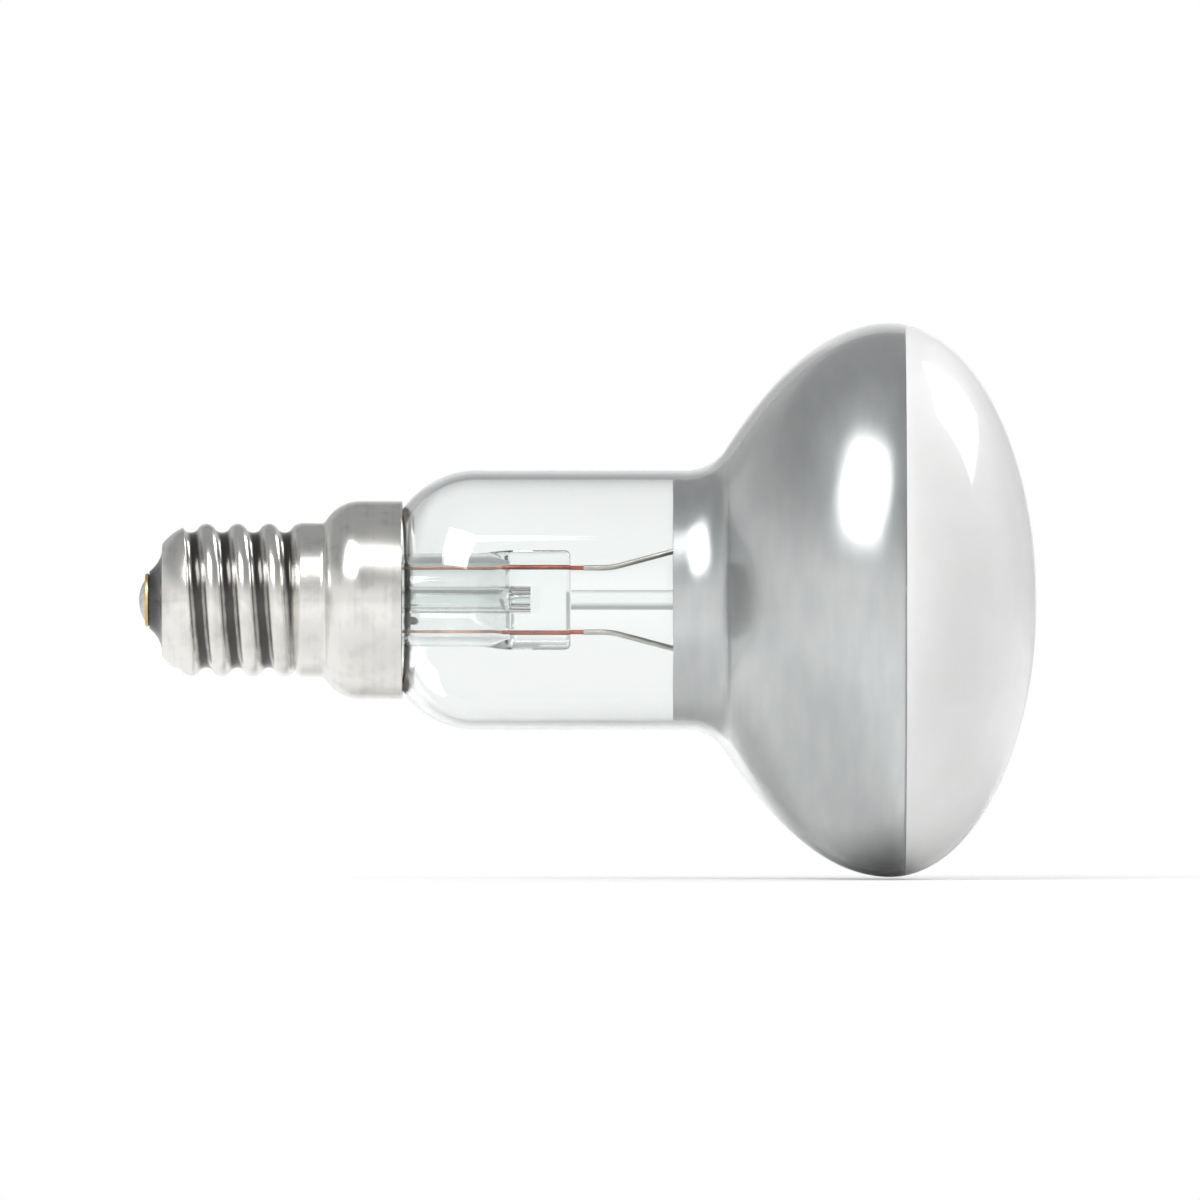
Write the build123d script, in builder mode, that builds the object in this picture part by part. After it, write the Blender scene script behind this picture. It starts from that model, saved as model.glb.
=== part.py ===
from build123d import *
from math import acos, asin, atan2, cos, degrees, hypot, pi, radians, sin, sqrt, tan
import os

os.makedirs("parts", exist_ok=True)

# Reflector bulb on a 14 mm screw cap. X is the axis of the bulb: the tip of the centre contact is the
# origin, and the face looks along +X. Profiles are drawn as (distance along the axis, radius) and turned.

# Glass envelope
overall_length = 81.0  # contact tip to the crown of the face
bulb_diameter = 50.0
face_depth = 13.2  # widest place to the crown
bowl_depth = 18.4  # end of the straight neck to the widest place
bowl_slope = 57.5  # degrees, where the bowl leaves the hollow arc at the neck
neck_diameter = 23.4
neck_hollow = 4.2  # radius of the hollow arc between neck and bowl
shoulder_crown = 8.1  # radius of the round shoulder above the cap
shoulder_hollow = 0.8  # radius of the hollow arc at the skirt's mouth
tail_diameter = 15.4  # the end of the neck that stands inside the cap
glass_wall = 0.8

# Mirror coating on the inside of the bowl, far thicker than the real film so that it is a solid
mirror_film = 0.08
mirror_before_bowl = 1.2  # how far it reaches back into the neck
mirror_past_widest = 1.3  # how far it reaches on to the face

# Nose of the cap
solder_height = 0.55
solder_diameter = 3.7
contact_diameter = 4.8
contact_thickness = 0.4
contact_hole = 1.0
contact_shank_diameter = 2.4
contact_shank_length = 1.2
contact_edge = 0.15  # rounding of the plate's rim
nose_height = 1.15  # the bare cone of the insulator
nose_hollow = 0.2  # by which the cone is dished
nose_flat_diameter = 5.2  # the insulator's end under the contact
insulator_length = 5.1  # inside the cap, from the rim to its back
insulator_dish = 2.2  # depth of the hollow in its back
insulator_dish_floor = 5.0  # diameter
insulator_lip = 0.6
insulator_hole = 1.2

# Cap: one drawn shell with a rolled knuckle thread
thread_diameter = 13.8  # over the crests
thread_depth = 0.8
thread_pitch = 2.822
thread_length = 12.5  # from the rim to the plain band
thread_runout = 1.0  # the last stretch, where the groove grows shallow
thread_crest_angle = -59.0  # degrees from +Y, where the first crest leaves the rim
thread_points = 16  # points on the section's closed curve
rim_diameter = 10.1
rim_crown = 5.0  # radius of the rounding from the rim to the thread
rim_crown_clear = 0.15  # by which that rounding passes over the crests
cap_sheet = 0.3
band_diameter = 13.86
band_length = 1.8
skirt_diameter = 17.86
skirt_length = 3.8
skirt_crown = 3.6  # radius of the skirt's round shoulder
skirt_hollow = 0.6  # radius of the bend between band and shoulder

# Stem
seal_inset = 0.45  # from the start of the straight skirt to the seal of neck and stem
tail_swell = 0.75  # from the skirt's mouth back to where the tail begins to widen
stem_diameter = 8.4
stem_wall = 0.85
stem_tube_length = 9.5  # from the seal to where the tube begins to flatten
stem_taper_length = 4.0
press_length = 5.0
press_width = 9.0
press_thickness = 2.8
press_edge = 0.5  # rounding of its end
cavity_stop = 0.6  # from the end of the tube's hollow to the press
cavity_margin = 0.3  # room beside each wire at the end of the hollow
cavity_gap = 1.2  # thickness of the hollow at its end
exhaust_diameter = 2.4
exhaust_bore = 1.4
exhaust_socket = 1.4  # how far the exhaust tube reaches into the press
exhaust_length = 23.8
blow_hole_diameter = 1.0
blow_hole_reach = 1.6  # from the end of the exhaust tube to the blow hole's axis

# Wires
lead_spacing = 5.8  # between the two seal wires
seal_wire_diameter = 0.4
seal_wire_inside = 0.8  # end that stands into the tube's hollow
seal_wire_outside = 1.2  # end that stands out of the press
outer_lead_diameter = 0.3
outer_lead_bend = 0.6
side_lead_clear = 0.08  # to the inside of the skirt
side_lead_drop = 0.65  # under the stem's rim
centre_lead_straight = 17.5
centre_lead_entry = 1.0  # behind the insulator, where the wire reaches the axis
centre_lead_in_solder = 0.3  # from the contact tip to the wire's end
inner_lead_diameter = 0.5
inner_lead_straight = 2.5
inner_lead_bend = 1.0
inner_lead_hook = 1.6  # the turned end that holds the filament

# Filament and what holds it
filament_x = 58.0
filament_ring_diameter = 14.0
filament_coil_diameter = 0.6
button_rod_diameter = 1.8
button_x = 50.0
button_diameter = 2.6
support_diameter = 0.25
support_clear = 0.03
support_seat = 0.6  # from the middle of the button to the wire's end in it
support_wrap = 250.0  # degrees of hook round the filament
support_fan = 50.0  # degrees between support wires

# Capping
cement_back = 0.1  # from the seal
cement_front = 0.3  # from the skirt's mouth
side_solder_diameter = 1.5
side_solder_sink = 0.55  # its middle, below the outside of the skirt

# Places along the axis and radii worked out from the sizes above
bulb_radius = bulb_diameter / 2
neck_radius = neck_diameter / 2
tail_radius = tail_diameter / 2
widest_x = overall_length - face_depth
neck_end_x = widest_x - bowl_depth
contact_back_x = solder_height + contact_thickness
rim_x = contact_back_x + nose_height
band_x = rim_x + thread_length
band_end_x = band_x + band_length
insulator_back_x = rim_x + insulator_length
crest_radius = thread_diameter / 2
root_radius = crest_radius - thread_depth
band_radius = band_diameter / 2
skirt_radius = skirt_diameter / 2
lead_z = lead_spacing / 2
filament_ring_radius = filament_ring_diameter / 2
quarter_round = 4 / 3 * (sqrt(2) - 1)  # share of the reach that makes a cubic curve a quarter of an ellipse


def swell_turn(rise, hollow, crown):
    """Angle through which a hollow arc and then a round one turn to climb by a rise."""
    return acos(1 - rise / (hollow + crown))


def swell(start_x, low_radius, high_radius, hollow, crown, inset):
    """Two tangent arcs from a narrow run to a wide one, drawn this far under the outside."""
    turn = swell_turn(high_radius - low_radius, hollow, crown)
    end_x = start_x + (hollow + crown) * sin(turn)
    CenterArc((start_x, low_radius + hollow), hollow + inset, -90, degrees(turn))
    CenterArc((end_x, high_radius - crown), crown - inset, 90 + degrees(turn), -degrees(turn))
    return end_x


skirt_turn = swell_turn(skirt_radius - band_radius, skirt_hollow, skirt_crown)
skirt_x = band_end_x + (skirt_hollow + skirt_crown) * sin(skirt_turn)
mouth_x = skirt_x + skirt_length
seal_x = skirt_x + seal_inset
taper_x = seal_x + stem_tube_length
press_x = taper_x + stem_taper_length
press_end_x = press_x + press_length
exhaust_end_x = press_x + exhaust_socket
cavity_end_x = press_x - cavity_stop
seal_wire_start_x = cavity_end_x - seal_wire_inside
seal_wire_end_x = press_end_x + seal_wire_outside


def glass_line(inset):
    """The envelope's outline from the end of its tail to its crown, this far under the outside."""
    with BuildLine() as line:
        Line((seal_x, tail_radius - inset), (mouth_x - tail_swell, tail_radius - inset))
        neck_x = swell(
            mouth_x - tail_swell, tail_radius, neck_radius, shoulder_hollow, shoulder_crown, inset
        )
        Line((neck_x, neck_radius - inset), (neck_end_x, neck_radius - inset))
        hollow = CenterArc((neck_end_x, neck_radius + neck_hollow), neck_hollow + inset, -90, bowl_slope)
        foot = hollow @ 1
        corner_x = foot.X + (bulb_radius - inset - foot.Y) / tan(radians(bowl_slope))
        Bezier(foot, (corner_x, bulb_radius - inset), (widest_x, bulb_radius - inset))
        crown_x = overall_length - inset
        Bezier(
            (widest_x, bulb_radius - inset),
            (widest_x + quarter_round * (face_depth - inset), bulb_radius - inset),
            (crown_x, quarter_round * (bulb_radius - inset)),
            (crown_x, 0),
        )
    return line.line


glass_outside = glass_line(0)
glass_inside = glass_line(glass_wall)
mirror_inside = glass_line(glass_wall + mirror_film)

# Glass bulb: blown in one piece, with its tail open towards the stem
with BuildPart() as glass_bulb:
    with BuildSketch():
        with BuildLine():
            add(glass_outside)
            add(glass_inside)
            Line(glass_outside @ 0, glass_inside @ 0)
            Line(glass_outside @ 1, glass_inside @ 1)
        make_face()
    revolve(axis=Axis.X)
glass_bulb.part.label = "glass_bulb"
export_step(glass_bulb.part, "parts/glass_bulb.step")

# Mirror coating: the film on the inside of the bowl
with BuildPart() as mirror_coating:
    with BuildSketch():
        with BuildLine():
            add(glass_inside)
            add(mirror_inside)
            Line(glass_inside @ 0, mirror_inside @ 0)
            Line(glass_inside @ 1, mirror_inside @ 1)
        make_face()
        with Locations((neck_end_x - mirror_before_bowl, 0)):
            Rectangle(
                mirror_before_bowl + bowl_depth + mirror_past_widest,
                bulb_radius,
                align=Align.MIN,
                mode=Mode.INTERSECT,
            )
    revolve(axis=Axis.X)
mirror_coating.part.label = "mirror_coating"
export_step(mirror_coating.part, "parts/mirror_coating.step")


def knuckle_radius_at(along):
    """Radius of the thread at this distance from a crest: equal arcs on the crests and in the roots."""
    arc = ((thread_pitch / 2) ** 2 + thread_depth**2) / (4 * thread_depth)
    beyond = thread_pitch / 2 - abs(along)
    if beyond > thread_pitch / 4:
        return crest_radius - arc + sqrt(arc**2 - along**2)
    return root_radius + arc - sqrt(arc**2 - beyond**2)


def cap_line(inset):
    """The unthreaded part of the cap, from the run-out to the skirt's mouth, this far under the outside."""
    with BuildLine() as line:
        Line((band_x, band_radius - inset), (band_end_x, band_radius - inset))
        swell(band_end_x, band_radius, skirt_radius, skirt_hollow, skirt_crown, inset)
        Line((skirt_x, skirt_radius - inset), (mouth_x, skirt_radius - inset))
    return line.line


cap_outside = cap_line(0)
cap_inside = cap_line(cap_sheet)
bore_radius = root_radius - cap_sheet
rim_crown_radius = crest_radius + rim_crown_clear - rim_crown
rim_crown_x = rim_x + sqrt(rim_crown**2 - (rim_diameter / 2 - rim_crown_radius) ** 2)
rim_inside_radius = rim_crown_radius + sqrt((rim_crown - cap_sheet) ** 2 - (rim_crown_x - rim_x) ** 2)
bore_x = rim_crown_x - sqrt((rim_crown - cap_sheet) ** 2 - (bore_radius - rim_crown_radius) ** 2)
runout_x = band_x - thread_runout
rim_crown_centre = (rim_crown_x, rim_crown_radius)

# Cap shell: a knuckle section twisted once for each pitch, faded out on a cone, with band and skirt
with BuildPart() as cap_shell:
    with BuildSketch(Plane.YZ.offset(rim_x), mode=Mode.PRIVATE) as thread_section:
        with BuildLine():
            turns = [i / thread_points for i in range(thread_points)]
            radii = [knuckle_radius_at(thread_pitch * (turn - round(turn))) for turn in turns]
            angles = [radians(thread_crest_angle) + 2 * pi * turn for turn in turns]
            Spline([(r * cos(a), r * sin(a)) for r, a in zip(radii, angles)], periodic=True)
        make_face()
    add(
        Solid.extrude_linear_with_rotation(
            thread_section.sketch.face(),
            center=(rim_x, 0, 0),
            normal=(thread_length, 0, 0),
            angle=360 * thread_length / thread_pitch,
        )
    )
    with BuildSketch():
        with BuildLine():
            add(cap_outside)
            Polyline(
                cap_outside @ 0,
                (runout_x, root_radius - cap_sheet / 2),
                (runout_x, 0),
                (mouth_x, 0),
                cap_outside @ 1,
            )
        make_face()
    revolve(axis=Axis.X)
    with BuildSketch():
        with BuildLine():
            crown = CenterArc(rim_crown_centre, rim_crown, 180, -90)
            Polyline(crown @ 0, (crown @ 0) + (0, skirt_radius), (crown @ 1) + (0, skirt_radius), crown @ 1)
        make_face()
    revolve(axis=Axis.X, mode=Mode.SUBTRACT)
    with BuildSketch():
        with BuildLine():
            add(cap_inside)
            Polyline(cap_inside @ 0, (runout_x + cap_sheet, bore_radius), (bore_x, bore_radius))
            RadiusArc((rim_x, rim_inside_radius), (bore_x, bore_radius), rim_crown - cap_sheet)
            Polyline((rim_x, rim_inside_radius), (rim_x, 0), (mouth_x, 0), cap_inside @ 1)
        make_face()
    revolve(axis=Axis.X, mode=Mode.SUBTRACT)
cap_shell.part.label = "cap_shell"
export_step(cap_shell.part, "parts/cap_shell.step")

# Cap insulator: black glass cast into the nose of the cap, with a dished back
with BuildPart() as cap_insulator:
    with BuildSketch():
        with BuildLine():
            RadiusArc((rim_x, rim_inside_radius), (bore_x, bore_radius), rim_crown - cap_sheet)
            Polyline(
                (bore_x, bore_radius),
                (insulator_back_x, bore_radius),
                (insulator_back_x, bore_radius - insulator_lip),
                (insulator_back_x - insulator_dish, insulator_dish_floor / 2),
                (insulator_back_x - insulator_dish, insulator_hole / 2),
                (contact_back_x + contact_shank_length, insulator_hole / 2),
                (contact_back_x + contact_shank_length, contact_shank_diameter / 2),
                (contact_back_x, contact_shank_diameter / 2),
                (contact_back_x, nose_flat_diameter / 2),
            )
            SagittaArc((contact_back_x, nose_flat_diameter / 2), (rim_x, rim_inside_radius), -nose_hollow)
        make_face()
    revolve(axis=Axis.X)
cap_insulator.part.label = "cap_insulator"
export_step(cap_insulator.part, "parts/cap_insulator.step")

# Contact plate: a turned brass button with a hollow shank, set in the insulator
with BuildPart() as contact_plate:
    with BuildSketch() as contact_section:
        with BuildLine():
            Polyline(
                (solder_height, contact_hole / 2),
                (solder_height, contact_diameter / 2),
                (contact_back_x, contact_diameter / 2),
                (contact_back_x, contact_shank_diameter / 2),
                (contact_back_x + contact_shank_length, contact_shank_diameter / 2),
                (contact_back_x + contact_shank_length, contact_hole / 2),
                close=True,
            )
        make_face()
        fillet(contact_section.vertices().group_by(Axis.Y)[-1], contact_edge)
    revolve(axis=Axis.X)
contact_plate.part.label = "contact_plate"
export_step(contact_plate.part, "parts/contact_plate.step")


def round_wire(diameter, bend, *points):
    """A drawn wire through these points, with every corner bent to one radius."""
    with BuildPart() as wire:
        with BuildLine() as path:
            FilletPolyline(*points, radius=bend)
        with BuildSketch(Plane(path.line @ 0, z_dir=path.line % 0)):
            Circle(diameter / 2)
        sweep()
    return wire.part


# Seal wires in the press and inner leads in the bulb: one of each above the axis and one below
seal_wires = []
for place, side in (("upper", 1), ("lower", -1)):
    with BuildPart() as seal_wire:
        with BuildSketch(Plane.YZ.offset(seal_wire_start_x)):
            with Locations((0, side * lead_z)):
                Circle(seal_wire_diameter / 2)
        extrude(amount=seal_wire_end_x - seal_wire_start_x)
    seal_wire.part.label = f"seal_wire_{place}"
    export_step(seal_wire.part, f"parts/seal_wire_{place}.step")
    seal_wires.append(seal_wire.part)

    inner_lead = round_wire(
        inner_lead_diameter,
        inner_lead_bend,
        (seal_wire_end_x, 0, side * lead_z),
        (seal_wire_end_x + inner_lead_straight, 0, side * lead_z),
        (filament_x, inner_lead_hook, side * filament_ring_radius),
        (filament_x, 0, side * filament_ring_radius),
    )
    inner_lead.label = f"inner_lead_{place}"
    export_step(inner_lead, f"parts/inner_lead_{place}.step")

# Centre lead: from the upper seal wire down the stem and along the axis into the contact's solder
centre_lead = round_wire(
    outer_lead_diameter,
    outer_lead_bend,
    (seal_wire_start_x, 0, lead_z),
    (seal_wire_start_x - centre_lead_straight, 0, lead_z),
    (insulator_back_x + centre_lead_entry, 0, 0),
    (centre_lead_in_solder, 0, 0),
)
centre_lead.label = "centre_lead"
export_step(centre_lead, "parts/centre_lead.step")

# Side lead: from the lower seal wire round the stem's rim and along the inside of the skirt to its mouth
side_lead_x = seal_x - stem_wall - side_lead_drop
side_lead_radius = skirt_radius - cap_sheet - side_lead_clear - outer_lead_diameter / 2
side_lead_y = sqrt(side_lead_radius**2 - lead_z**2)
side_lead = round_wire(
    outer_lead_diameter,
    outer_lead_bend,
    (seal_wire_start_x, 0, -lead_z),
    (side_lead_x, 0, -lead_z),
    (side_lead_x, side_lead_y, -lead_z),
    (mouth_x, side_lead_y, -lead_z),
)
side_lead.label = "side_lead"
export_step(side_lead, "parts/side_lead.step")

# Exhaust tube: closed by a melted tip inside the cap, its other end fused into the press
exhaust_radius = exhaust_diameter / 2
exhaust_tip_centre = (exhaust_end_x - exhaust_length + exhaust_radius, 0)
with BuildPart() as exhaust_tube:
    with BuildSketch():
        with BuildLine():
            outer_tip = CenterArc(exhaust_tip_centre, exhaust_radius, 90, 90)
            inner_tip = CenterArc(exhaust_tip_centre, exhaust_bore / 2, 90, 90)
            Line(outer_tip @ 1, inner_tip @ 1)
            Polyline(
                outer_tip @ 0,
                (exhaust_end_x, exhaust_radius),
                (exhaust_end_x, exhaust_bore / 2),
                inner_tip @ 0,
            )
        make_face()
    revolve(axis=Axis.X)
exhaust_tube.part.label = "exhaust_tube"
export_step(exhaust_tube.part, "parts/exhaust_tube.step")

# Stem flare: a glass tube flared to meet the neck's tail, flattened round the seal wires at its other end
stem_radius = stem_diameter / 2
tail_bore_radius = tail_radius - glass_wall
flare_radius = tail_bore_radius - stem_radius
flare_centre = (seal_x + flare_radius, tail_bore_radius)
cavity_width = lead_spacing + seal_wire_diameter + 2 * cavity_margin
blow_hole_x = exhaust_end_x + blow_hole_reach
with BuildPart() as stem_flare:
    with BuildSketch():
        with BuildLine():
            over = CenterArc(flare_centre, flare_radius, 180, 90)
            under = CenterArc(flare_centre, flare_radius + stem_wall, 180, 90)
            Polyline(
                under @ 0,
                (seal_x - stem_wall, tail_radius),
                (seal_x, tail_radius),
                over @ 0,
            )
            Polyline(
                over @ 1,
                (taper_x, stem_radius),
                (taper_x, stem_radius - stem_wall),
                under @ 1,
            )
        make_face()
    revolve(axis=Axis.X)
    with BuildSketch(Plane.YZ.offset(taper_x)):
        Circle(stem_radius)
    with BuildSketch(Plane.YZ.offset(press_x)):
        SlotOverall(press_width, press_thickness, rotation=90)
    loft()
    with BuildSketch(Plane.YZ.offset(press_x)):
        SlotOverall(press_width, press_thickness, rotation=90)
    extrude(amount=press_length)
    fillet(stem_flare.faces().sort_by(Axis.X)[-1].edges(), press_edge)
    with BuildSketch(Plane.YZ.offset(taper_x)):
        Circle(stem_radius - stem_wall)
    with BuildSketch(Plane.YZ.offset(cavity_end_x)):
        SlotOverall(cavity_width, cavity_gap, rotation=90)
    loft(mode=Mode.SUBTRACT)
    with BuildSketch(Plane.YZ.offset(exhaust_end_x)):
        Circle(exhaust_radius)
    extrude(amount=-(exhaust_end_x - taper_x), mode=Mode.SUBTRACT)
    with BuildSketch(Plane.YZ.offset(exhaust_end_x)):
        Circle(blow_hole_diameter / 2)
    extrude(amount=blow_hole_reach, mode=Mode.SUBTRACT)
    with BuildSketch(Plane.XZ):
        with Locations((blow_hole_x, 0)):
            Circle(blow_hole_diameter / 2)
    extrude(amount=press_thickness, mode=Mode.SUBTRACT)
    add(seal_wires, mode=Mode.SUBTRACT)
stem_flare.part.label = "stem_flare"
export_step(stem_flare.part, "parts/stem_flare.step")

# Filament: a half ring across the axis from one inner lead to the other, drawn at the coil's outside
with BuildPart() as filament:
    with BuildLine() as filament_path:
        ThreePointArc(
            (filament_x, 0, filament_ring_radius),
            (filament_x, -filament_ring_radius, 0),
            (filament_x, 0, -filament_ring_radius),
        )
    with BuildSketch(Plane(filament_path.line @ 0, z_dir=filament_path.line % 0)):
        Circle(filament_coil_diameter / 2)
    sweep()
filament.part.label = "filament"
export_step(filament.part, "parts/filament.step")

# Support wires: each leaves the button in a plane through the axis and hooks round the filament with room
hook_radius = (filament_coil_diameter + support_diameter) / 2 + support_clear
hook_reach = hypot(filament_x - button_x, filament_ring_radius)
support_slope = atan2(filament_ring_radius, filament_x - button_x) + asin(hook_radius / hook_reach)
support_run = sqrt(hook_reach**2 - hook_radius**2)
support_wires = []
for place, step in (("upper", 1), ("middle", 0), ("lower", -1)):
    fan = radians(step * support_fan)
    with BuildPart() as support_wire:
        with BuildLine(Plane((0, 0, 0), x_dir=(1, 0, 0), z_dir=(0, -sin(fan), -cos(fan)))) as support_path:
            Line(
                (button_x + support_seat * cos(support_slope), support_seat * sin(support_slope)),
                (button_x + support_run * cos(support_slope), support_run * sin(support_slope)),
            )
            CenterArc(
                (filament_x, filament_ring_radius), hook_radius, degrees(support_slope) + 90, -support_wrap
            )
        with BuildSketch(Plane(support_path.line @ 0, z_dir=support_path.line % 0)):
            Circle(support_diameter / 2)
        sweep()
    support_wire.part.label = f"support_wire_{place}"
    export_step(support_wire.part, f"parts/support_wire_{place}.step")
    support_wires.append(support_wire.part)

# Button rod: a glass rod fused to the end of the press, its tip melted to a button round the support wires
button_radius = button_diameter / 2
button_rod_radius = button_rod_diameter / 2
with BuildPart() as button_rod:
    with BuildSketch():
        with BuildLine():
            button_foot = degrees(asin(button_rod_radius / button_radius))
            button = CenterArc((button_x, 0), button_radius, 180 - button_foot, button_foot - 180)
            Polyline(
                button @ 0,
                (press_end_x, button_rod_radius),
                (press_end_x, 0),
                button @ 1,
            )
        make_face()
    revolve(axis=Axis.X)
    add(support_wires, mode=Mode.SUBTRACT)
button_rod.part.label = "button_rod"
export_step(button_rod.part, "parts/button_rod.step")

# Centre solder: a dome on the contact plate that runs down its hole round the centre lead
solder_radius = solder_diameter / 2
dome_radius = (solder_radius**2 + solder_height**2) / (2 * solder_height)
with BuildPart() as centre_solder:
    with BuildSketch():
        with BuildLine():
            dome = JernArc((0, 0), (0, 1), dome_radius, -degrees(asin(solder_radius / dome_radius)))
            Polyline(
                dome @ 1,
                (solder_height, contact_hole / 2),
                (contact_back_x, contact_hole / 2),
                (contact_back_x, 0),
                dome @ 0,
            )
        make_face()
    revolve(axis=Axis.X)
    add(centre_lead, mode=Mode.SUBTRACT)
centre_solder.part.label = "centre_solder"
export_step(centre_solder.part, "parts/centre_solder.step")

# Capping cement: fills the ring between the neck's tail and the skirt, round the side lead
with BuildPart() as capping_cement:
    with BuildSketch():
        with Locations((seal_x + cement_back, tail_radius)):
            Rectangle(
                mouth_x - cement_front - seal_x - cement_back,
                skirt_radius - cap_sheet - tail_radius,
                align=Align.MIN,
            )
    revolve(axis=Axis.X)
    add(glass_bulb.part, mode=Mode.SUBTRACT)
    add(side_lead, mode=Mode.SUBTRACT)
capping_cement.part.label = "capping_cement"
export_step(capping_cement.part, "parts/capping_cement.step")

# Side solder: a drop over the end of the side lead that joins it to the skirt's mouth
side_angle = atan2(-lead_z, side_lead_y)
side_solder_radius = skirt_radius - side_solder_sink
with BuildPart() as side_solder:
    with Locations((mouth_x, side_solder_radius * cos(side_angle), side_solder_radius * sin(side_angle))):
        Sphere(side_solder_diameter / 2, rotation=(0, 90, 0))
    add(cap_shell.part, mode=Mode.SUBTRACT)
    add(glass_bulb.part, mode=Mode.SUBTRACT)
    add(capping_cement.part, mode=Mode.SUBTRACT)
    add(side_lead, mode=Mode.SUBTRACT)
side_solder.part.label = "side_solder"
export_step(side_solder.part, "parts/side_solder.step")
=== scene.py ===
import bmesh
import bpy
import numpy as np
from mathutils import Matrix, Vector


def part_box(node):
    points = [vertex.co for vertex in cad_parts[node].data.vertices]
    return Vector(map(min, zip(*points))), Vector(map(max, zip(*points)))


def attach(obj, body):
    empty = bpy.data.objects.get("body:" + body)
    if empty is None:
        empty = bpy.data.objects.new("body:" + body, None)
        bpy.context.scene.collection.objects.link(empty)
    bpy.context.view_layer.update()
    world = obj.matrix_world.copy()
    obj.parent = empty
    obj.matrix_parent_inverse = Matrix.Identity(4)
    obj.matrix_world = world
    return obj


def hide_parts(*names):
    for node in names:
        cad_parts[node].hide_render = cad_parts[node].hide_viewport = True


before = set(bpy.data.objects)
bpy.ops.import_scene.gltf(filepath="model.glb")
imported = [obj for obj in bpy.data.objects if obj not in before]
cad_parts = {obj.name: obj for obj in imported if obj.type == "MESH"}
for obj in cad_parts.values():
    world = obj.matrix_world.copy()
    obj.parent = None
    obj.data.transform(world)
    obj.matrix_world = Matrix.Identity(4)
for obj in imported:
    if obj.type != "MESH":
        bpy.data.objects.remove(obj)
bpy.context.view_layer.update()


# Glass bulb: one blown envelope of clear soda-lime glass, thin from the tail inside the cap to the crown.
# The neck and the bowl are clear. The face is etched to a white satin that begins at the mirror's front edge.
tail_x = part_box("glass_bulb")[0].x
crown_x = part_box("glass_bulb")[1].x
mouth_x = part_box("cap_shell")[1].x
satin_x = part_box("mirror_coating")[1].x
bulb_radius = 0.025
face_depth = 0.0132
bowl_depth = 0.0184
bowl_slope = np.radians(57.5)
neck_radius = 0.0117
neck_hollow = 0.0042
shoulder_crown = 0.0081
shoulder_hollow = 0.0008
tail_radius = 0.0077
tail_swell = 0.00075
glass_wall = 0.0008
widest_x = crown_x - face_depth
neck_end_x = widest_x - bowl_depth
bend_points = 24
bowl_points = 48
face_points = 64
bulb_sides = 192
least_width = 1e-9
merge_distance = 1e-8
sharp_corner = np.radians(40)
neck_tint = (0.97, 0.985, 0.98, 1)
satin_dim = (0.87, 0.87, 0.86, 1)
satin_bright = (0.92, 0.92, 0.915, 1)


def arc(centre, radius, start, turn, count):
    """Points of an arc: the centre plus radius times cosine and sine of an angle from start on by turn."""
    angle = start + turn * np.linspace(0, 1, count)
    return np.column_stack((centre[0] + radius * np.cos(angle), centre[1] + radius * np.sin(angle)))


def bezier(count, *corners):
    """Points of a Bezier curve: neighbouring corners are blended by the same share until one is left."""
    share = np.linspace(0, 1, count)[:, None]
    points = [np.asarray(corner, float)[None, :] for corner in corners]
    while len(points) > 1:
        points = [(1 - share) * a + share * b for a, b in zip(points, points[1:])]
    return points[0]


def swell(start_x, low_radius, high_radius, hollow, crown, inset, count):
    """Two tangent arcs, hollow and then round, from a low radius to a high one, drawn inset far inside."""
    turn = np.arccos(1 - (high_radius - low_radius) / (hollow + crown))
    end_x = start_x + (hollow + crown) * np.sin(turn)
    first = arc((start_x, low_radius + hollow), hollow + inset, -np.pi / 2, turn, count)
    second = arc((end_x, high_radius - crown), crown - inset, np.pi / 2 + turn, -turn, count)
    return np.vstack((first, second[1:]))


def glass_line(inset):
    """The envelope's outline as (x, radius): straight tail, swelling shoulder, straight neck, a hollow arc, a
    parabola up the bowl and a quarter of an ellipse over the face, all this far under the outside."""
    start_x = mouth_x - tail_swell
    shoulder = swell(start_x, tail_radius, neck_radius, shoulder_hollow, shoulder_crown, inset, bend_points)
    hollow_centre = (neck_end_x, neck_radius + neck_hollow)
    hollow = arc(hollow_centre, neck_hollow + inset, -np.pi / 2, bowl_slope, bend_points)
    foot = hollow[-1]
    high = bulb_radius - inset
    corner = (foot[0] + (high - foot[1]) / np.tan(bowl_slope), high)
    bowl = bezier(bowl_points, foot, corner, (widest_x, high))
    turn = np.linspace(0, np.pi / 2, face_points)
    face = np.column_stack((widest_x + (face_depth - inset) * np.sin(turn), high * np.cos(turn)))
    face[-1, 1] = 0
    return np.vstack(([tail_x, tail_radius - inset], shoulder, hollow, bowl[1:], face[1:]))


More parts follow.
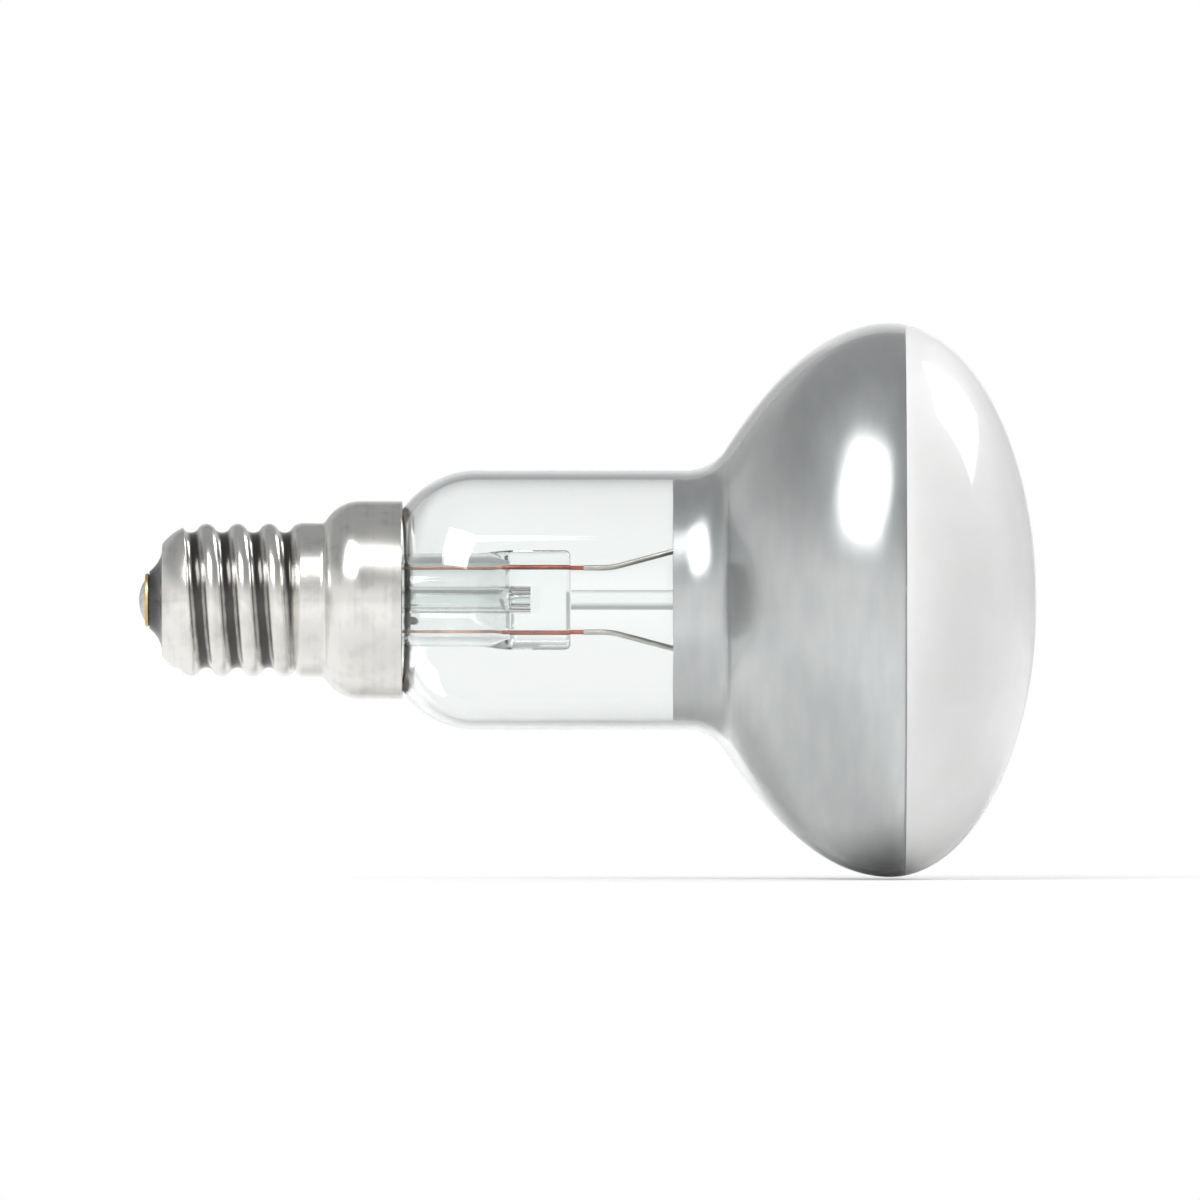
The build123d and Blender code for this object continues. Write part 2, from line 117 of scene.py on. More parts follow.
def skin(name, points, loop=False):
    """A mesh over a grid of points. Columns go round the piece and join up, rows follow each other along it,
    and with loop the last row meets the first. A row on one spot is a pole, where flat faces are left out.
    Its map lays the grid out flat: across by the share of the turn, up by the share of the way along."""
    rows, columns = points.shape[:2]
    index = np.arange(rows * columns).reshape(rows, columns)
    low = index if loop else index[:-1]
    high = np.roll(index, -1, axis=0) if loop else index[1:]
    faces = np.stack((low, np.roll(low, -1, axis=1), np.roll(high, -1, axis=1), high), axis=-1).reshape(-1, 4)
    flat = points.reshape(-1, 3)
    width = np.abs(flat[faces[:, 0]] - flat[faces[:, 1]]) + np.abs(flat[faces[:, 2]] - flat[faces[:, 3]])
    real = width.sum(axis=1) > least_width
    faces = faces[real]
    steps = np.linalg.norm(np.roll(points[:, 0], -1, axis=0) - points[:, 0], axis=1)[: len(low)]
    way = np.concatenate(([0], np.cumsum(steps))) / steps.sum()
    sheet = np.stack(np.meshgrid(np.linspace(0, 1, columns + 1), way), axis=-1)
    layout = np.stack((sheet[:-1, :-1], sheet[:-1, 1:], sheet[1:, 1:], sheet[1:, :-1]), axis=2)
    mesh = bpy.data.meshes.new(name)
    mesh.vertices.add(len(flat))
    mesh.vertices.foreach_set("co", flat.ravel())
    mesh.loops.add(faces.size)
    mesh.loops.foreach_set("vertex_index", faces.ravel())
    mesh.polygons.add(len(faces))
    mesh.polygons.foreach_set("loop_start", np.arange(0, faces.size, 4))
    mesh.update(calc_edges=True)
    mesh.uv_layers.new(name="OFBake").uv.foreach_set("vector", layout.reshape(-1, 8)[real].ravel())
    shape = bmesh.new()
    shape.from_mesh(mesh)
    bmesh.ops.remove_doubles(shape, verts=shape.verts, dist=merge_distance)
    shape.to_mesh(mesh)
    shape.free()
    mesh.shade_smooth()
    mesh.set_sharp_from_angle(angle=sharp_corner)
    piece = bpy.data.objects.new(name, mesh)
    bpy.context.collection.objects.link(piece)
    return piece


def turned(line, sides):
    """A grid of points: every (x, radius) of the line is carried once round the X axis."""
    angle = np.linspace(0, 2 * np.pi, sides, endpoint=False)
    x, radius = line[:, :1], line[:, 1:]
    return np.stack((x + 0 * angle, radius * np.cos(angle), radius * np.sin(angle)), axis=-1)


def effect(name, inputs, outputs):
    """An empty node group with these named sockets, and the two nodes that hold its inputs and outputs."""
    group = bpy.data.node_groups.new(name, "ShaderNodeTree")
    for socket, value in inputs.items():
        given = group.interface.new_socket(socket, in_out="INPUT", socket_type="NodeSocketFloat")
        given.default_value = value
    for socket, kind in outputs.items():
        group.interface.new_socket(socket, in_out="OUTPUT", socket_type=kind)
    return group, group.nodes.new("NodeGroupInput"), group.nodes.new("NodeGroupOutput")


def smear_effect():
    """Roughness that wanders between a clean and a handled value, in soft patches of a given size."""
    group, given, out = effect(
        "smears", {"Scale": 150.0, "Clean": 0.1, "Handled": 0.2}, {"Roughness": "NodeSocketFloat"}
    )
    place = group.nodes.new("ShaderNodeTexCoord")
    patches = group.nodes.new("ShaderNodeTexNoise")
    patches.inputs["Detail"].default_value = 2
    spread = group.nodes.new("ShaderNodeMapRange")
    spread.inputs["From Min"].default_value = 0.35
    spread.inputs["From Max"].default_value = 0.7
    group.links.new(place.outputs["Object"], patches.inputs["Vector"])
    group.links.new(given.outputs["Scale"], patches.inputs["Scale"])
    group.links.new(patches.outputs["Fac"], spread.inputs["Value"])
    group.links.new(given.outputs["Clean"], spread.inputs["To Min"])
    group.links.new(given.outputs["Handled"], spread.inputs["To Max"])
    group.links.new(spread.outputs["Result"], out.inputs["Roughness"])
    return group


def grain_effect():
    """Height and normal of a grain: noise of a given fineness along and across the bulb's axis."""
    group, given, out = effect(
        "grain",
        {"Along": 1000.0, "Across": 1000.0, "Depth": 0.00002, "Strength": 0.3},
        {"Normal": "NodeSocketVector", "Height": "NodeSocketFloat"},
    )
    place = group.nodes.new("ShaderNodeTexCoord")
    size = group.nodes.new("ShaderNodeCombineXYZ")
    stretch = group.nodes.new("ShaderNodeVectorMath")
    stretch.operation = "MULTIPLY"
    noise = group.nodes.new("ShaderNodeTexNoise")
    noise.inputs["Scale"].default_value = 1
    noise.inputs["Detail"].default_value = 3
    bump = group.nodes.new("ShaderNodeBump")
    group.links.new(given.outputs["Along"], size.inputs["X"])
    group.links.new(given.outputs["Across"], size.inputs["Y"])
    group.links.new(given.outputs["Across"], size.inputs["Z"])
    group.links.new(place.outputs["Object"], stretch.inputs[0])
    group.links.new(size.outputs["Vector"], stretch.inputs[1])
    group.links.new(stretch.outputs["Vector"], noise.inputs["Vector"])
    group.links.new(noise.outputs["Fac"], bump.inputs["Height"])
    group.links.new(given.outputs["Depth"], bump.inputs["Distance"])
    group.links.new(given.outputs["Strength"], bump.inputs["Strength"])
    group.links.new(bump.outputs["Normal"], out.inputs["Normal"])
    group.links.new(noise.outputs["Fac"], out.inputs["Height"])
    return group


smears = smear_effect()
grain = grain_effect()


def finish(name, values):
    """A material whose shader holds these plain values; returns it with its node tree and its shader."""
    material = bpy.data.materials.new(name)
    material.use_nodes = True
    shader = material.node_tree.nodes["Principled BSDF"]
    for socket, value in values.items():
        shader.inputs[socket].default_value = value
    return material, material.node_tree, shader


def placed(tree, group, values):
    """One use of a node group in a material, with its own values."""
    node = tree.nodes.new("ShaderNodeGroup")
    node.node_tree = group
    for socket, value in values.items():
        node.inputs[socket].default_value = value
    return node


def shaded(tree, share, low, high):
    """A colour that runs from a low (position, colour) to a high one by this share."""
    ramp = tree.nodes.new("ShaderNodeValToRGB")
    for stop, (position, colour) in zip(ramp.color_ramp.elements, (low, high)):
        stop.position = position
        stop.color = colour
    tree.links.new(share, ramp.inputs["Fac"])
    return ramp.outputs["Color"]


def fed(tree, shader, colour, marks, relief):
    """Feeds the shader a colour, the roughness of some smears and the normal of some grain."""
    tree.links.new(colour, shader.inputs["Base Color"])
    tree.links.new(marks.outputs["Roughness"], shader.inputs["Roughness"])
    tree.links.new(relief.outputs["Normal"], shader.inputs["Normal"])


def clear_glass(name, colour, ripple):
    """Clear glass: faint smears in its roughness and a slow ripple of this strength from the blowing."""
    material, tree, shader = finish(name, {"Base Color": colour, "IOR": 1.5, "Transmission Weight": 1.0})
    marks = placed(tree, smears, {"Scale": 140.0, "Clean": 0.012, "Handled": 0.03})
    waves = placed(tree, grain, {"Along": 120.0, "Across": 90.0, "Depth": 0.0002, "Strength": ripple})
    tree.links.new(marks.outputs["Roughness"], shader.inputs["Roughness"])
    tree.links.new(waves.outputs["Normal"], shader.inputs["Normal"])
    return material


def satin_glass(name):
    """White satin behind a smooth outside: clouds and a fine grain in the white, gloss from a clear coat."""
    material, tree, shader = finish(
        name, {"IOR": 1.5, "Transmission Weight": 0.36, "Coat Weight": 0.6, "Coat Roughness": 0.08}
    )
    marks = placed(tree, smears, {"Scale": 300.0, "Clean": 0.45, "Handled": 0.6})
    etch = placed(tree, grain, {"Along": 2500.0, "Across": 2500.0, "Depth": 0.00001, "Strength": 0.15})
    clouds = placed(tree, grain, {"Along": 160.0, "Across": 160.0, "Depth": 0.0, "Strength": 0.0})
    tone = shaded(tree, clouds.outputs["Height"], (0.3, satin_dim), (0.7, satin_bright))
    fed(tree, shader, tone, marks, etch)
    return material


glass_outside = glass_line(0)
glass_inside = glass_line(glass_wall)
glass_section = np.vstack((glass_outside, glass_inside[::-1]))
glass_bulb = skin("bulb_envelope", turned(glass_section, bulb_sides), loop=True)
glass_bulb.data.materials.append(clear_glass("clear_glass", neck_tint, ripple=0.04))
glass_bulb.data.materials.append(satin_glass("satin_glass"))
middles = np.empty(len(glass_bulb.data.polygons) * 3)
glass_bulb.data.polygons.foreach_get("center", middles)
glass_bulb.data.polygons.foreach_set("material_index", (middles[::3] > satin_x).astype(np.int32))
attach(glass_bulb, "root")
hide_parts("glass_bulb")


# Mirror coating: bright aluminium condensed on the inside of the bowl, seen from outside through the glass.
# It is a thin film that ends at a clean edge in the neck and at another just past the widest place.
film_gap = 0.00002
film_thickness = 0.00006
film_rows = 160
film_dim = (0.58, 0.58, 0.59, 1)
film_bright = (0.64, 0.64, 0.64, 1)
film_start_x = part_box("mirror_coating")[0].x
film_x = np.linspace(film_start_x, satin_x, film_rows)


def film_line(inset):
    """The film's outline at this depth: the envelope's outline read at even steps along the axis."""
    line = glass_line(inset)
    return np.column_stack((film_x, np.interp(film_x, line[:, 0], line[:, 1])))


def silvering(name):
    """Metal film: grey-white, a little hazy in drifts, with the faint streaks of its condensing."""
    material, tree, shader = finish(name, {"Metallic": 1.0})
    haze = placed(tree, smears, {"Scale": 70.0, "Clean": 0.285, "Handled": 0.36})
    streaks = placed(tree, grain, {"Along": 900.0, "Across": 250.0, "Depth": 0.00002, "Strength": 0.03})
    tone = shaded(tree, streaks.outputs["Height"], (0.3, film_dim), (0.7, film_bright))
    fed(tree, shader, tone, haze, streaks)
    return material


film_depth = glass_wall + film_gap
film_section = np.vstack((film_line(film_depth), film_line(film_depth + film_thickness)[::-1]))
mirror_coating = skin("mirror_film", turned(film_section, bulb_sides), loop=True)
mirror_coating.data.materials.append(silvering("silvering"))
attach(mirror_coating, "root")
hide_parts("mirror_coating")


# Stem flare: a tube of clear glass, flared at the rim that is fused to the neck's tail, and pinched flat at
# its other end round the seal wires. Its hollow narrows to a slot and holds the end of the exhaust tube.
seal_gap = 0.00002
stem_radius = 0.0042
stem_wall = 0.00085
stem_tube_length = 0.0095
stem_taper_length = 0.004
press_length = 0.005
press_half_width = 0.0045
press_half_thickness = 0.0014
press_edge = 0.0005
press_step = 3
cavity_half_width = 0.0034
cavity_half_gap = 0.0006
cavity_stop = 0.0006
exhaust_radius = 0.0012
exhaust_socket = 0.0014
weld_gap = 0.00004
taper_x = tail_x + stem_tube_length
press_x = taper_x + stem_taper_length
press_end_x = press_x + press_length
cavity_end_x = press_x - cavity_stop
socket_end_x = press_x + exhaust_socket
edge_points = 8
taper_rows = 24
stem_sides = 96
stem_tint = (0.96, 0.98, 0.975, 1)


def pressed(stations, sides):
    """A grid of points from (x, half width, half thickness): each ring is a circle as thick as the station,
    with its upper and lower half moved apart along Z to the station's width by a soft step."""
    angle = np.linspace(0, 2 * np.pi, sides, endpoint=False)
    x, width, thick = stations[:, :1], stations[:, 1:2], stations[:, 2:]
    apart = np.tanh(press_step * np.sin(angle)) / np.tanh(press_step)
    return np.stack(
        (x + 0 * angle, thick * np.cos(angle), thick * np.sin(angle) + (width - thick) * apart), axis=-1
    )


def round_stations(line):
    """Stations of a round stretch: width and thickness are both the radius."""
    return np.column_stack((line, line[:, 1]))


def narrowed(start, end, first, last, count):
    """Stations between two sections, blended by a share that starts and stops gently."""
    share = np.linspace(0, 1, count)
    ease = share * share * (3 - 2 * share)
    sizes = np.asarray(first) + ease[:, None] * (np.asarray(last) - np.asarray(first))
    return np.column_stack((start + share * (end - start), sizes))


rim_x = tail_x - seal_gap
flare_radius = tail_radius - glass_wall - stem_radius
flare_centre = (rim_x + flare_radius, tail_radius - glass_wall)
stem_rim = np.array([[rim_x - stem_wall, tail_radius], [rim_x, tail_radius]])
stem_outside = np.vstack((stem_rim, arc(flare_centre, flare_radius, np.pi, np.pi / 2, bend_points)))
stem_inside = arc(flare_centre, flare_radius + stem_wall, np.pi, np.pi / 2, bend_points)
edge_turn = np.linspace(0, np.pi / 2, edge_points)
press_round = press_edge * (1 - np.cos(edge_turn))
press_end = np.column_stack(
    (
        press_end_x - press_edge + press_edge * np.sin(edge_turn),
        press_half_width - press_round,
        press_half_thickness - press_round,
    )
)
tube_section = (stem_radius, stem_radius)
press_section = (press_half_width, press_half_thickness)
hollow_section = (stem_radius - stem_wall, stem_radius - stem_wall)
slot_section = (cavity_half_width, cavity_half_gap)
socket_radius = exhaust_radius + weld_gap
stem_rows = np.vstack(
    (
        round_stations(stem_outside),
        narrowed(taper_x, press_x, tube_section, press_section, taper_rows),
        press_end,
        [[press_end_x, 0, 0], [socket_end_x, 0, 0]],
        round_stations(np.array([[socket_end_x, socket_radius], [cavity_end_x + weld_gap, socket_radius]])),
        narrowed(taper_x, cavity_end_x, hollow_section, slot_section, taper_rows)[::-1],
        round_stations(stem_inside)[::-1],
    )
)
stem_flare = skin("stem_with_press", pressed(stem_rows, stem_sides), loop=True)
stem_glass = clear_glass("drawn_glass", stem_tint, ripple=0.06)
stem_flare.data.materials.append(stem_glass)
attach(stem_flare, "root")
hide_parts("stem_flare")


# Exhaust tube: the thin glass tube through which the bulb was emptied, melted shut inside the cap.
# Its other end is fused into the press.
exhaust_bore = 0.0007
tip_points = 16
tube_sides = 48
exhaust_tip_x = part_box("exhaust_tube")[0].x
tip_centre = (exhaust_tip_x + exhaust_radius, 0)
tube_outside = arc(tip_centre, exhaust_radius, np.pi, -np.pi / 2, tip_points)
tube_inside = arc(tip_centre, exhaust_bore, np.pi, -np.pi / 2, tip_points)
tube_outside[0, 1] = tube_inside[0, 1] = 0
tube_end_x = socket_end_x - weld_gap
tube_end = [[tube_end_x, exhaust_radius], [tube_end_x, exhaust_bore]]
tube_line = np.vstack((tube_outside, tube_end, tube_inside[::-1]))
exhaust_tube = skin("exhaust_tube_glass", turned(tube_line, tube_sides), loop=True)
exhaust_tube.data.materials.append(stem_glass)
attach(exhaust_tube, "root")
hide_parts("exhaust_tube")


# Seal wires: two short copper-clad wires through the press, deep red where the glass has wetted them.
# They carry the current through the vacuum seal.
lead_z = 0.0029
seal_wire_radius = 0.0002
seal_rows = 12
corner_points = 12
seal_wire_start_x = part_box("seal_wire_upper")[0].x
seal_wire_end_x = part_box("seal_wire_upper")[1].x


def wire(name, path, radius, aside, sides=16):
    """A round wire: rings of this radius stand square to the path, on axes taken from the path's direction
    and a fixed direction aside; a ring of no size closes each end."""
    path = np.asarray(path, float)
    run = np.gradient(path, axis=0)
    run /= np.linalg.norm(run, axis=1, keepdims=True)
    first = np.cross(run, np.asarray(aside, float))
    first /= np.linalg.norm(first, axis=1, keepdims=True)
    second = np.cross(run, first)
    angle = np.linspace(0, 2 * np.pi, sides, endpoint=False)[:, None]
    rings = path[:, None] + radius * (np.cos(angle) * first[:, None] + np.sin(angle) * second[:, None])
    ends = path[[0, -1], None] + np.zeros((1, sides, 1))
    return skin(name, np.concatenate((ends[:1], rings, ends[1:])))


def bent(bend, *corners):
    """A path through corners: each inner corner is cut back by the same length and rounded by a parabola."""
    corners = np.asarray(corners, float)
    path = [corners[:1]]
    for before, corner, after in zip(corners, corners[1:], corners[2:]):
        back = before - corner
        onward = after - corner
        start = corner + bend * back / np.linalg.norm(back)
        end = corner + bend * onward / np.linalg.norm(onward)
        path.append(bezier(corner_points, start, corner, end))
    return np.vstack((*path, corners[-1:]))


def wire_metal(name, colour, stain, clean, handled):
    """Drawn wire: two tones that drift into each other along the wire, with faint marks from the die."""
    material, tree, shader = finish(name, {"Metallic": 1.0})
    marks = placed(tree, smears, {"Scale": 900.0, "Clean": clean, "Handled": handled})
    drift = placed(tree, grain, {"Along": 500.0, "Across": 500.0, "Depth": 0.00001, "Strength": 0.1})
    tone = shaded(tree, drift.outputs["Height"], (0.35, stain), (0.6, colour))
    fed(tree, shader, tone, marks, drift)
    return material


seal_copper = wire_metal(
    "red_copper", colour=(0.5, 0.13, 0.07, 1), stain=(0.3, 0.06, 0.04, 1), clean=0.29, handled=0.42
)
for place, side in (("upper", 1), ("lower", -1)):
    seal_start = (seal_wire_start_x, 0, side * lead_z)
    seal_end = (seal_wire_end_x, 0, side * lead_z)
    seal_path = np.linspace(seal_start, seal_end, seal_rows)
    seal_wire = wire(f"seal_wire_{place}_rod", seal_path, seal_wire_radius, aside=(0, 0, 1))
    seal_wire.data.materials.append(seal_copper)
    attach(seal_wire, "root")
    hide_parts(f"seal_wire_{place}")


# Inner leads: stiff nickel wires, butt-welded to the seal wires, that spread towards the bowl.
# Each ends in a short hook that is pinched round one end of the filament.
inner_lead_radius = 0.00025
inner_lead_straight = 0.0025
inner_lead_bend = 0.0008
inner_lead_hook = 0.0016
filament_x = (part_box("filament")[0].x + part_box("filament")[1].x) / 2
filament_ring = 0.007
lead_nickel = wire_metal(
    "drawn_nickel", colour=(0.62, 0.6, 0.56, 1), stain=(0.5, 0.47, 0.42, 1), clean=0.29, handled=0.4
)
for place, side in (("upper", 1), ("lower", -1)):
    lead_path = bent(
        inner_lead_bend,
        (seal_wire_end_x, 0, side * lead_z),
        (seal_wire_end_x + inner_lead_straight, 0, side * lead_z),
        (filament_x, inner_lead_hook, side * filament_ring),
        (filament_x, 0, side * filament_ring),
    )
    inner_lead = wire(f"inner_lead_{place}_wire", lead_path, inner_lead_radius, aside=(0, 0.2, 1))
    inner_lead.data.materials.append(lead_nickel)
    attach(inner_lead, "root")
    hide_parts(f"inner_lead_{place}")


# Button rod: a solid glass rod on the end of the press. Its tip was melted to a round button, and the support
# wires were pushed into it while it was soft.
button_x = 0.05
button_radius = 0.0013
button_rod_radius = 0.0009
button_points = 32
button_foot = np.arcsin(button_rod_radius / button_radius)
button = arc((button_x, 0), button_radius, np.pi - button_foot, button_foot - np.pi, button_points)
button[-1, 1] = 0
rod_start_x = press_end_x + weld_gap
rod_line = np.vstack(([[rod_start_x, 0], [rod_start_x, button_rod_radius]], button))
button_rod = skin("button_rod_glass", turned(rod_line, tube_sides))
button_rod.data.materials.append(stem_glass)
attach(button_rod, "root")
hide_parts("button_rod")


# Support wires: three thin molybdenum wires that fan out from the button.
# Each ends in an open hook that the filament passes through.
coil_radius = 0.0003
support_radius = 0.000125
support_clear = 0.00003
support_seat = 0.0006
support_wrap = np.radians(250)
support_fan = np.radians(50)
hook_points = 40
hook_radius = coil_radius + support_clear + support_radius
hook_reach = np.hypot(filament_x - button_x, filament_ring)
support_slope = np.arctan2(filament_ring, filament_x - button_x) + np.arcsin(hook_radius / hook_reach)
support_run = np.sqrt(hook_reach**2 - hook_radius**2)
hook_start = support_slope + np.pi / 2
support_hook = arc((filament_x, filament_ring), hook_radius, hook_start, -support_wrap, hook_points)
support_way = np.array([np.cos(support_slope), np.sin(support_slope)])
support_straight = np.array([button_x, 0]) + np.outer((support_seat, support_run), support_way)
support_line = np.vstack((support_straight, support_hook[1:]))
support_metal = wire_metal(
    "support_metal", colour=(0.42, 0.42, 0.44, 1), stain=(0.3, 0.3, 0.32, 1), clean=0.3, handled=0.45
)
for place, step in (("upper", 1), ("middle", 0), ("lower", -1)):
    fan = step * support_fan
    support_path = np.column_stack(
        (support_line[:, 0], -np.cos(fan) * support_line[:, 1], np.sin(fan) * support_line[:, 1])
    )
    across = (0, np.sin(fan), np.cos(fan))
    support_wire = wire(f"support_{place}_hook", support_path, support_radius, aside=across, sides=10)
    support_wire.data.materials.append(support_metal)
    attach(support_wire, "root")
    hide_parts(f"support_wire_{place}")


# Filament: tungsten wire wound to a long thin coil and bent to half a ring across the bulb's axis.
# Its ends are pinched in the hooks of the inner leads.
filament_wire_radius = 0.00005
filament_turns = 92
turn_steps = 14
winding_radius = coil_radius - filament_wire_radius
steps = np.linspace(0, 1, filament_turns * turn_steps)
ring_angle = np.pi * steps
coil_angle = 2 * np.pi * filament_turns * steps
coil_reach = filament_ring + winding_radius * np.cos(coil_angle)
coil_path = np.column_stack(
    (
        filament_x + winding_radius * np.sin(coil_angle),
        -coil_reach * np.sin(ring_angle),
        coil_reach * np.cos(ring_angle),
    )
)
filament = wire("filament_coil", coil_path, filament_wire_radius, aside=(0.31, 0.17, 0.94), sides=8)
tungsten = wire_metal(
    "tungsten", colour=(0.2, 0.2, 0.21, 1), stain=(0.12, 0.12, 0.13, 1), clean=0.35, handled=0.5
)
filament.data.materials.append(tungsten)
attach(filament, "root")
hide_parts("filament")


# Centre lead and side lead: bare copper wires from the seal wires through the stem into the cap. One runs
# along the axis into the contact's solder, the other round the stem's rim to the skirt's mouth.
outer_lead_radius = 0.00015
outer_lead_bend = 0.0005
centre_lead_straight = 0.0175
centre_lead_entry = 0.001
side_lead_drop = 0.00065
insulator_back_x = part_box("cap_insulator")[1].x
side_lead_x = rim_x - stem_wall - side_lead_drop
side_lead_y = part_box("side_lead")[1].y - outer_lead_radius
lead_copper = wire_metal(
    "bare_copper", colour=(0.74, 0.4, 0.25, 1), stain=(0.5, 0.24, 0.15, 1), clean=0.29, handled=0.42
)
outer_leads = {
    "centre_lead": (
        (seal_wire_start_x, 0, lead_z),
        (seal_wire_start_x - centre_lead_straight, 0, lead_z),
        (insulator_back_x + centre_lead_entry, 0, 0),
        (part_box("centre_lead")[0].x, 0, 0),
    ),
    "side_lead": (
        (seal_wire_start_x, 0, -lead_z),
        (side_lead_x, 0, -lead_z),
        (side_lead_x, side_lead_y, -lead_z),
        (mouth_x, side_lead_y, -lead_z),
    ),
}
for node, corners in outer_leads.items():
    outer_path = bent(outer_lead_bend, *corners)
    outer_lead = wire(f"{node}_wire", outer_path, outer_lead_radius, aside=(0.1, 0.1, 1), sides=12)
    outer_lead.data.materials.append(lead_copper)
    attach(outer_lead, "root")
    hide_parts(node)


# Capping cement: a ring of baked resin and marble flour that glues the cap to the neck's tail.
# Only its rough front edge shows, in the gap at the skirt's mouth.
skirt_radius = 0.00893
cap_sheet = 0.0003
ring_gap = 0.00002
ring_sides = 128
cement_dark = (0.36, 0.29, 0.2, 1)
cement_pale = (0.66, 0.58, 0.46, 1)
cement_low, cement_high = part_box("capping_cement")
cement_corner_x = mouth_x - tail_swell
cement_outside = skirt_radius - cap_sheet - ring_gap
cement_end = np.interp(cement_high.x, glass_outside[:, 0], glass_outside[:, 1])
cement_corner = np.interp(cement_corner_x, glass_outside[:, 0], glass_outside[:, 1])
cement_line = np.array(
    [
        [cement_low.x, tail_radius + ring_gap],
        [cement_low.x, cement_outside],
        [cement_high.x, cement_outside],
        [cement_high.x, cement_end + ring_gap],
        [cement_corner_x, cement_corner + ring_gap],
    ]
)


def baked_cement(name):
    """Dull tan cement with coarse and fine grains."""
    material, tree, shader = finish(name, {})
    marks = placed(tree, smears, {"Scale": 1200.0, "Clean": 0.75, "Handled": 0.95})
    grains = placed(tree, grain, {"Along": 6000.0, "Across": 6000.0, "Depth": 0.00006, "Strength": 0.6})
    tone = shaded(tree, grains.outputs["Height"], (0.25, cement_dark), (0.75, cement_pale))
    fed(tree, shader, tone, marks, grains)
    return material


capping_cement = skin("capping_cement_ring", turned(cement_line, ring_sides), loop=True)
capping_cement.data.materials.append(baked_cement("baked_cement"))
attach(capping_cement, "root")
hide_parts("capping_cement")


# Cap shell: drawn from thin brass sheet and nickel plated. A right-hand knuckle thread is rolled into it and
# runs out before a plain band. A round shoulder widens to the skirt that takes the glass.
cap_rim_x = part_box("cap_shell")[0].x
thread_pitch = 0.002822
thread_depth = 0.0008
thread_crest = 0.0069
thread_length = 0.0125
thread_runout = 0.001
thread_steps = 210
runout_blend = 0.00015
first_crest = np.radians(-59)
rim_radius = 0.00505
rim_crown = 0.005
rim_crown_clear = 0.00015
rim_blend = 0.0001
rim_bore_length = 0.0015
far_outside = 1.0
band_radius = 0.00693
band_length = 0.0018
skirt_crown = 0.0036
skirt_hollow = 0.0006
mouth_edge = 0.00008
shoulder_points = 20
cap_sides = 224
plate_bright = (0.75, 0.74, 0.71, 1)
# Dark end of the plate's colour: grey tarnish in the patches, and painted shade in the thread's roots.
plate_tarnish_and_shade = (0.08, 0.076, 0.072, 1)
# How sharply the painted shade gathers towards the bottom of the thread's roots.
root_shade_power = 5.0
blotch_tarnish = 0.5
ring_tarnish = 0.2
band_x = cap_rim_x + thread_length
band_end_x = band_x + band_length
runout_x = band_x - thread_runout
crown_radius = thread_crest + rim_crown_clear - rim_crown
crown_middle_x = cap_rim_x + np.sqrt(rim_crown**2 - (rim_radius - crown_radius) ** 2)
thread_root = thread_crest - thread_depth


def knuckle(along):
    """Thread radius at a distance from a crest: equal arcs, round on the crest, hollow in the root."""
    bend = ((thread_pitch / 2) ** 2 + thread_depth**2) / (4 * thread_depth)
    beyond = thread_pitch / 2 - np.abs(along)
    crest = thread_crest - bend + np.sqrt(np.maximum(bend**2 - along**2, 0))
    root = thread_root + bend - np.sqrt(np.maximum(bend**2 - beyond**2, 0))
    return np.where(beyond > thread_pitch / 4, crest, root)


def softest(a, b, blend):
    """The smaller of two radii, with a round transition of this size."""
    mix = np.clip(0.5 + 0.5 * (b - a) / blend, 0, 1)
    return b + (a - b) * mix - blend * mix * (1 - mix)


def rim_round(x):
    """Radius of the rounding at the rim: an arc that ends just over the crests, then far outside them."""
    short = np.minimum(x - crown_middle_x, 0)
    return crown_radius + np.sqrt(rim_crown**2 - short**2) + np.where(x > crown_middle_x, far_outside, 0)


def rolled(x, angle):
    """Radius of the threaded stretch: the knuckle thread turns once in each pitch, a cone fills it towards
    the band, and the rounding at the rim cuts it down."""
    turns = (x - cap_rim_x) / thread_pitch - (angle - first_crest) / (2 * np.pi)
    radius = knuckle(thread_pitch * (turns - np.round(turns)))
    rise = (x - runout_x) / thread_runout
    cone_start = thread_root - cap_sheet / 2
    cone = cone_start + rise * (band_radius - cone_start)
    radius = -softest(-radius, -cone, runout_blend)
    return softest(radius, rim_round(x), rim_blend)


cap_angle = np.linspace(0, 2 * np.pi, cap_sides, endpoint=False)
thread_x = np.linspace(cap_rim_x, band_x, thread_steps)[:, None]
thread_radius = rolled(thread_x, cap_angle)
thread_rows = np.stack(
    (thread_x + 0 * cap_angle, thread_radius * np.cos(cap_angle), thread_radius * np.sin(cap_angle)), axis=-1
)
cap_outline = np.vstack(
    (
        swell(band_end_x, band_radius, skirt_radius, skirt_hollow, skirt_crown, 0, shoulder_points),
        [[mouth_x - mouth_edge, skirt_radius], [mouth_x, skirt_radius - mouth_edge]],
    )
)
cap_inline = np.vstack(
    (
        [[band_x, band_radius - cap_sheet]],
        swell(band_end_x, band_radius, skirt_radius, skirt_hollow, skirt_crown, cap_sheet, shoulder_points),
        [[mouth_x, skirt_radius - cap_sheet]],
    )
)
bore_radius = thread_root - cap_sheet
rim_inside = crown_radius + np.sqrt((rim_crown - cap_sheet) ** 2 - (crown_middle_x - cap_rim_x) ** 2)
bore_x = cap_rim_x + rim_bore_length
cap_bore = np.array([[runout_x + cap_sheet, bore_radius], [bore_x, bore_radius], [cap_rim_x, rim_inside]])
cap_inside = np.vstack((cap_inline[::-1], cap_bore))
cap_grid = np.concatenate((thread_rows, turned(cap_outline, cap_sides), turned(cap_inside, cap_sides)))
cap_shell = skin("cap_threaded", cap_grid, loop=True)
cap_points = np.empty(len(cap_shell.data.vertices) * 3)
cap_shell.data.vertices.foreach_get("co", cap_points)
cap_x, cap_y, cap_z = cap_points.reshape(-1, 3).T
